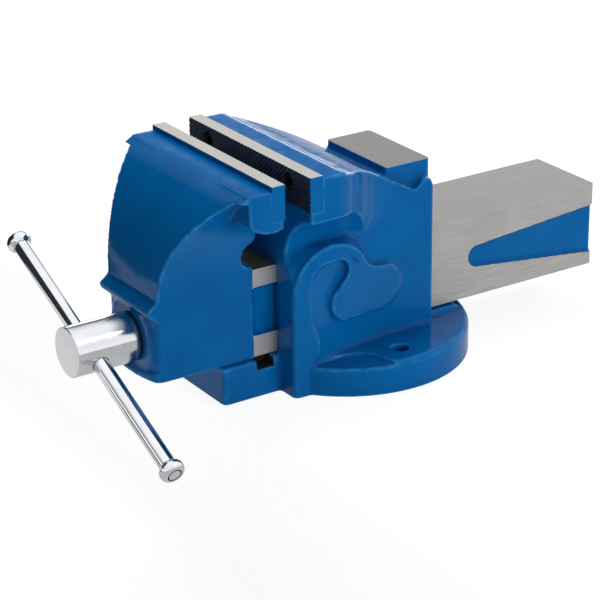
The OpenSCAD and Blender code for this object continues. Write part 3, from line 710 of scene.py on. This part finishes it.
def spindle():
    """The screw, turned in one piece with its round head, which is bored across for the bar."""
    thread_start = COLLAR[1][1] + 6
    core, end = SCREW_R - THREAD_DEPTH, SPINDLE[1][1]
    first, last, edge_r = HEAD_FRONT + HEAD_EDGE, HEAD_REAR - HEAD_EDGE, HEAD_R - HEAD_EDGE
    bm = bmesh.new()
    profile = ([(HEAD_FRONT, 0)] + rounded(first, edge_r, HEAD_EDGE, 180, 90)
               + [(first + (last - first) * k / 24, HEAD_R) for k in range(1, 24)]
               + rounded(last, edge_r, HEAD_EDGE, 90, 0)
               + [(HEAD_REAR, SCREW_R), (thread_start - 3, SCREW_R), (thread_start, core),
                  (end - 3, core), (end, core - 3), (end, 0)])
    add_turned(bm, profile, ON_AXIS, steps=128)
    for face in bm.faces:
        place = face.calc_center_median().y / MM
        if place < HEAD_FRONT + 0.3:
            face.material_index = 1
        elif place > HEAD_REAR:
            face.material_index = 2
    obj = to_object(bm, "spindle_turned", [SATIN, FACED, GREASE_AND_SHADE], 30)
    ridge = thread(thread_start + 3, end - 6)
    modified(obj, "BOOLEAN", object=ridge, operation="UNION", solver="EXACT", material_mode="TRANSFER")
    bpy.data.objects.remove(ridge)
    cutter = bmesh.new()
    half, radius = HEAD_R + 10, BAR_D / 2 + 0.5
    hole = Matrix.Translation((0, BAR_CENTRE.y, AXIS_Z * MM)) @ ALONG_BAR
    add_turned(cutter, [(-half, 0), (-half, radius), (half, radius), (half, 0)], hole, steps=64)
    # painted shade: the wall of the cross hole is coloured black
    cut_away(obj, cutter, BLACK)
    reshade(obj, 30)
    piece(obj, "screw", "bright_steel", "spindle")


def handle():
    """The bar is shouldered down at each end, the knob pressed on and the spigot riveted over."""
    half, r = BAR_L / 2, BAR_D / 2
    shoulder = KNOB_L - half
    side = [(-half, 0), (-half, SPIGOT_R - 0.5), (-half + 0.5, SPIGOT_R), (shoulder - 0.6, SPIGOT_R),
            (shoulder - 0.6, r - 0.4), (shoulder - 0.2, r)]

    def paint_crevice_shade(bm):
        """Painted shade: the groove between spigot and knob is coloured black."""
        off_bar = ON_BAR.inverted()
        for face in bm.faces:
            spot = off_bar @ face.calc_center_median()
            out = math.hypot(spot.x, spot.z) / MM
            if abs(spot.y) > (half - 0.55) * MM and SPIGOT_R - 0.5 < out < SPIGOT_R + 0.65:
                face.material_index = 1

    bm = bmesh.new()
    add_turned(bm, side + [(-y, turned) for y, turned in reversed(side)], ON_BAR, steps=96)
    paint_crevice_shade(bm)
    bar = to_object(bm, "handle_bar_polished", [BRIGHT, BLACK], 30)
    piece(bar, "handle", "bright_steel", "handle_bar")
    dome = [(DOME_H * math.sin(t) - DOME_H, DOME_R + (KNOB_R - DOME_R) * math.cos(t))
            for t in (math.radians(90 * k / 10) for k in range(-6, 11))]
    profile = [(-KNOB_L + 0.2, SPIGOT_R + 0.1), (-KNOB_L + 0.2, r + 0.1), (-KNOB_L, r + 0.5),
               (-KNOB_L, 8.6), (-KNOB_L + 0.4, 9.0)] + dome + [(0, SPIGOT_R + 0.7), (-0.6, SPIGOT_R + 0.1)]
    at_end = Matrix.Translation((0, half * MM, 0))
    for word, place in (("lower", at_end), ("upper", Matrix.Rotation(math.pi, 4, "X") @ at_end)):
        bm = bmesh.new()
        add_turned(bm, profile, ON_BAR @ place, steps=96, closed=True)
        paint_crevice_shade(bm)
        knob = to_object(bm, f"knob_{word}", [BRIGHT, BLACK], 35)
        piece(knob, "handle", "bright_steel", f"handle_knob_{word}")


def ring(node, name, bore_r, material, chamfer=0.4):
    """A turned ring on the screw's axis, as long and as wide as its CAD node."""
    low, high = corners(node)
    front, rear, r = low[1], high[1], (high[0] - low[0]) / 2
    profile = [(front, bore_r + chamfer), (front, r - chamfer), (front + chamfer, r), (rear - chamfer, r),
               (rear, r - chamfer), (rear, bore_r + chamfer), (rear - chamfer, bore_r),
               (front + chamfer, bore_r)]
    bm = bmesh.new()
    add_turned(bm, profile, ON_AXIS, steps=96, closed=True)
    return to_object(bm, name, [material], 30)


def thrust_spring():
    """A coil of round wire round the screw, between the inner washer and the collar."""
    low, high = corners("thrust_spring")
    wire_r, coil_r, turns = 2, SCREW_R + 2.8, 4
    bm = bmesh.new()
    start = Matrix.Translation((coil_r * MM, (low[1] + wire_r) * MM, 0))
    bmesh.ops.create_circle(bm, segments=16, radius=wire_r * MM, matrix=start)
    wind(bm, bm.verts[:] + bm.edges[:], turns, (high[1] - low[1] - 2 * wire_r) / turns, 48)
    spring = to_object(bm, "thrust_spring_wound", [PLAIN], 40)
    piece(spring, "screw", "plain_steel", "thrust_spring")


def collar():
    """The retaining collar, and the pin driven through it and the screw."""
    obj = ring("retaining_collar", "retaining_collar_turned", SCREW_R + RUNNING_FIT, PLAIN, 0.8)
    low, high = corners("collar_pin")
    r, half = (high[0] - low[0]) / 2, (high[2] - low[2]) / 2
    upright = Matrix.Translation((0, (low[1] + high[1]) / 2 * MM, AXIS_Z * MM)) @ ACROSS
    cutter, hole_r = bmesh.new(), r + RUNNING_FIT
    add_turned(cutter, [(-30, 0), (-30, hole_r), (30, hole_r), (30, 0)], upright, steps=48)
    cut_away(obj, cutter, PLAIN)
    piece(obj, "screw", "plain_steel", "retaining_collar")
    bm = bmesh.new()
    profile = ([(-half, 0)] + rounded(-half + 1, r - 1, 1, 180, 90) + rounded(half - 1, r - 1, 1, 90, 0)
               + [(half, 0)])
    add_turned(bm, profile, upright, steps=48)
    pin = to_object(bm, "collar_pin_ground", [BRIGHT], 40)
    piece(pin, "screw", "bright_steel", "collar_pin")


def nut():
    """The nut block, bored along for the screw and drilled from below for its two bolts."""
    low, high = corners("spindle_nut")
    front, rear = low[1], high[1]
    bm = bmesh.new()
    add_box(bm, low, high)
    bmesh.ops.bevel(bm, geom=bm.edges[:], offset=1.5 * MM, segments=3, profile=0.5, affect="EDGES",
                    material=-1)
    obj = to_object(bm, "spindle_nut_machined", [GREASE_AND_SHADE], 30)
    cutter, bore_r, mouth_r = bmesh.new(), SCREW_R + RUNNING_FIT, SCREW_R + 1.4
    add_turned(cutter, [(front - 1, 0), (front - 1, mouth_r), (front + 1.4, bore_r), (rear - 1.4, bore_r),
                        (rear + 1, mouth_r), (rear + 1, 0)], ON_AXIS)
    cut_away(obj, cutter, GREASE_AND_SHADE)
    cutter, hole_r = bmesh.new(), NUT_BOLT_R + RUNNING_FIT
    for side in (-1, 1):
        y = (front + rear) / 2 + side * NUT_BOLT_Y
        upright = Matrix.Translation((0, y * MM, low[2] * MM)) @ ACROSS
        add_turned(cutter, [(-1, 0), (-1, hole_r), (14, hole_r), (14, 0)], upright, steps=48)
    cut_away(obj, cutter, GREASE_AND_SHADE)
    piece(obj, "base", "nut_iron", "spindle_nut")


spindle()
handle()
thrust_spring()
collar()
nut()
for node, material in (("head_washer", BLACK), ("spring_washer", PLAIN)):
    washer = ring(node, node + "_turned", SCREW_R + WASHER_FIT, material)
    piece(washer, "jaw_carriage", "plain_steel", node)

# ------------------------------------------------------------ finish of CAD nodes

CAD_FINISH = {ENAMEL: ("body", "moving_jaw"), GROUND: ("fixed_jaw_plate", "moving_jaw_plate"),
              BLACK: [node for node in NODES if "plate_screw" in node],
              BRIGHT: ("spindle", "handle_bar", "handle_knob_upper", "handle_knob_lower", "collar_pin"),
              PLAIN: ("head_washer", "spring_washer", "thrust_spring", "retaining_collar", "nut_bolt_front",
                      "nut_bolt_rear", "nut_washer_front", "nut_washer_rear"),
              GREASE_AND_SHADE: ("spindle_nut",)}
for material, nodes in CAD_FINISH.items():
    for node in nodes:
        NODES[node].data.materials.clear()
        NODES[node].data.materials.append(material)


# ------------------------------------------------------------- bench and lights

FLOOR_Z = -0.14                         # metres, as are all places and sizes below
TO_CAMERA = Vector((0.771, -0.5006, 0.394))
OFF_FRONT = Vector((-0.771, -0.5006, -0.394))       # the same, mirrored in a face that looks along -Y
LIT_SPOT = Vector((0, -0.05, 0.1))


def pale_surface(name):
    """Pale matt surface: nearly white to the lens with a faint shadow, and grey in bright metal."""
    material = bpy.data.materials.new(name)
    tree = empty_tree(material)
    matt = add_node(tree, "ShaderNodeBsdfDiffuse", Color=linear("#F2F2F0")).outputs[0]
    faint = add_node(tree, "ShaderNodeBsdfDiffuse", Color=linear("#6A6A6A")).outputs[0]
    glow = add_node(tree, "ShaderNodeEmission", Color=(1, 1, 1, 1), Strength=0.9).outputs[0]
    grey = add_node(tree, "ShaderNodeEmission", Color=(1, 1, 1, 1), Strength=0.6).outputs[0]
    white = add_node(tree, "ShaderNodeAddShader", {0: faint, 1: glow}).outputs[0]
    seen = by_ray(tree, "Is Camera Ray", matt, white)
    add_node(tree, "ShaderNodeOutputMaterial", {"Surface": by_ray(tree, "Is Glossy Ray", seen, grey)})
    return material


def add_sheet(bm, points, across):
    """Draws a line of points sideways into a sheet."""
    line = [bm.verts.new(point) for point in points]
    edges = [bm.edges.new(pair) for pair in zip(line, line[1:])]
    swept = bmesh.ops.extrude_edge_only(bm, edges=edges)["geom"]
    bmesh.ops.translate(bm, vec=across, verts=[v for v in swept if isinstance(v, bmesh.types.BMVert)])


def bench():
    """A bench top whose edge lies just in front of the vise's foot, and the floor below it."""
    bm = bmesh.new()
    path = [(3.0, 0.0), (-0.166, 0.0), (-0.17, -0.004), (-0.17, FLOOR_Z + 0.02), (-0.19, FLOOR_Z),
            (-3.0, FLOOR_Z)]
    add_sheet(bm, [(-3.0, y, z - 0.0002) for y, z in path], (6.0, 0, 0))
    bmesh.ops.recalc_face_normals(bm, faces=bm.faces)
    for face in bm.faces:
        face.material_index = int(face.calc_center_median().y < -0.1)
    surfaces = [pale_surface("matt_white_laminate"), pale_surface("pale_floor")]
    to_object(bm, "bench_top", surfaces)


def world():
    """A white light tent, brightest low behind on the left, with a dark seam at its foot and a
    dark gap across its left side. It shows in reflections only: the lens sees plain white, and
    matt surfaces get dim, even light."""
    made = bpy.data.worlds.new("studio")
    bpy.context.scene.world = made
    tree = empty_tree(made)
    way = add_node(tree, "ShaderNodeTexCoord").outputs["Generated"]
    parts = add_node(tree, "ShaderNodeSeparateXYZ", {"Vector": way})
    shares = []
    for axis in "XYZ":
        share = add_node(tree, "ShaderNodeMath", {0: parts.outputs[axis]}, operation="MULTIPLY_ADD")
        share.inputs[1].default_value = share.inputs[2].default_value = 0.5
        shares.append(share.outputs[0])
    across, depth, height = shares
    dark = 0.12
    right = ramp(tree, height, [(0.485, dark), (0.5, dark), (0.525, 1.3), (0.7, 1.05), (0.95, 1.25)])
    front_left, rear_left = [
        ramp(tree, height, [(0.485, dark), (0.5, dark), (0.52, low), (gap - 0.04, low), (gap, dark),
                            (0.745, dark), (0.82, 0.9), (0.95, 1.25)])
        for low, gap in ((1.4, 0.65), (3.2, 0.653))]
    left = mixed(tree, ramp(tree, depth, [(0.47, 0.0), (0.57, 1.0)]), front_left, rear_left)
    tent = mixed(tree, ramp(tree, across, [(0.25, 0.0), (0.45, 1.0)]), left, right)
    dim = add_node(tree, "ShaderNodeBackground", Color=(1, 1, 1, 1), Strength=0.2).outputs[0]
    white = add_node(tree, "ShaderNodeBackground", Color=(1, 1, 1, 1), Strength=1.0).outputs[0]
    shiny = add_node(tree, "ShaderNodeBackground", {"Color": tent}, Strength=1.0).outputs[0]
    unseen = by_ray(tree, "Is Glossy Ray", dim, shiny)
    add_node(tree, "ShaderNodeOutputWorld", {"Surface": by_ray(tree, "Is Camera Ray", unseen, white)})


def camera():
    """A long lens, in front, to the right and a little above, leaning by less than a degree."""
    azimuth, elevation, roll = math.radians(57.0155), math.radians(23.1927), math.radians(-0.6936)
    distance, target = 2.03263, Vector((0, -0.05019, 0.05686))
    level = math.cos(elevation)
    back = Vector((math.sin(azimuth) * level, -math.cos(azimuth) * level, math.sin(elevation)))
    right = Vector((math.cos(azimuth), math.sin(azimuth), 0))
    up = back.cross(right)
    lean, upright = math.sin(roll), math.cos(roll)
    turn = Matrix((right * upright + up * lean, up * upright - right * lean, back)).transposed()
    data = bpy.data.cameras.new("camera")
    data.sensor_width, data.lens = 36.0, 133.26
    data.clip_start, data.clip_end = 0.05, 20.0
    made = bpy.data.objects.new("camera", data)
    made.matrix_world = Matrix.Translation(target + back * distance) @ turn.to_4x4()
    bpy.context.scene.collection.objects.link(made)
    bpy.context.scene.camera = made


def card(bm, name, shade):
    """Makes bm a card that only polished metal sees."""
    material = bpy.data.materials.new(name)
    tree = empty_tree(material)
    flat = add_node(tree, "ShaderNodeEmission", Color=linear(shade), Strength=1.0)
    add_node(tree, "ShaderNodeOutputMaterial", {"Surface": flat.outputs[0]})
    made = to_object(bm, name, [material])
    for way in ("camera", "diffuse", "shadow", "transmission"):
        setattr(made, "visible_" + way, False)


def black_card():
    """A curved card left of the handle draws the dark streak that gives the bright bar its
    roundness."""
    towards = (TO_CAMERA - TO_CAMERA.dot(SLIDE_AXIS) * SLIDE_AXIS).normalized()
    middle = Vector((-0.07, -0.26, 0.11))
    bm = bmesh.new()
    ends = [bm.verts.new(middle + SLIDE_AXIS * along + towards * 0.29) for along in (-0.3, -0.1)]
    strip = [bm.edges.new(ends)]
    bmesh.ops.rotate(bm, cent=middle, matrix=Matrix.Rotation(math.radians(11.5), 3, SLIDE_AXIS), verts=ends)
    bmesh.ops.spin(bm, geom=ends + strip, cent=middle, axis=SLIDE_AXIS, angle=math.radians(102), steps=16)
    card(bm, "black_card", "#30343C")


def white_card():
    """A card low in front lights the end of the screw's head."""
    end = Vector((0, HEAD_FRONT * MM, AXIS_Z * MM))
    facing = OFF_FRONT.to_track_quat("Z", "Y").to_matrix().to_4x4()
    bm = bmesh.new()
    bmesh.ops.create_grid(bm, x_segments=1, y_segments=1, size=0.08,
                          matrix=Matrix.Translation(end + OFF_FRONT * 0.2) @ facing)
    card(bm, "white_card", "#F4F4F4")


def black_cloth():
    """A cloth on the floor and up behind it keeps the enamel of the front deep."""
    ahead, sideways = Vector((-0.839, -0.545, 0)), Vector((0.545, -0.839, 0)) * 0.5
    lying = FLOOR_Z + 0.005
    path = [Vector((0, -0.2, up)) + ahead * far
            for far, up in ((0.6, lying), (1.1, lying), (1.2, -0.05), (1.25, 1.7))]
    bm = bmesh.new()
    add_sheet(bm, [point - sideways for point in path], sideways * 2)
    card(bm, "black_cloth", "#202329")


def lamp(name, place, size, watts, mirrored=False):
    """A softbox that faces the vise; the tent stands in for it in reflections unless mirrored."""
    data = bpy.data.lights.new(name, "AREA")
    data.shape = "RECTANGLE"
    data.size, data.size_y = size
    data.energy = watts
    made = bpy.data.objects.new(name, data)
    made.location = place
    made.rotation_euler = (LIT_SPOT - Vector(place)).to_track_quat("-Z", "Y").to_euler()
    made.visible_glossy = mirrored
    bpy.context.scene.collection.objects.link(made)


bench()
world()
camera()
black_card()
white_card()
black_cloth()
lamp("top_softbox", (-0.7, 0.35, 1.5), (1.4, 1.4), 35)
lamp("right_softbox", (1.9, 0.1, 0.5), (0.9, 0.5), 19)
lamp("front_softbox", (0.3, -1.9, 0.5), (1.2, 0.8), 2)
lamp("back_strip", (0.9, 0.67, 1.49), (1.0, 0.08), 3, True)
bpy.context.scene.view_settings.view_transform = "Standard"
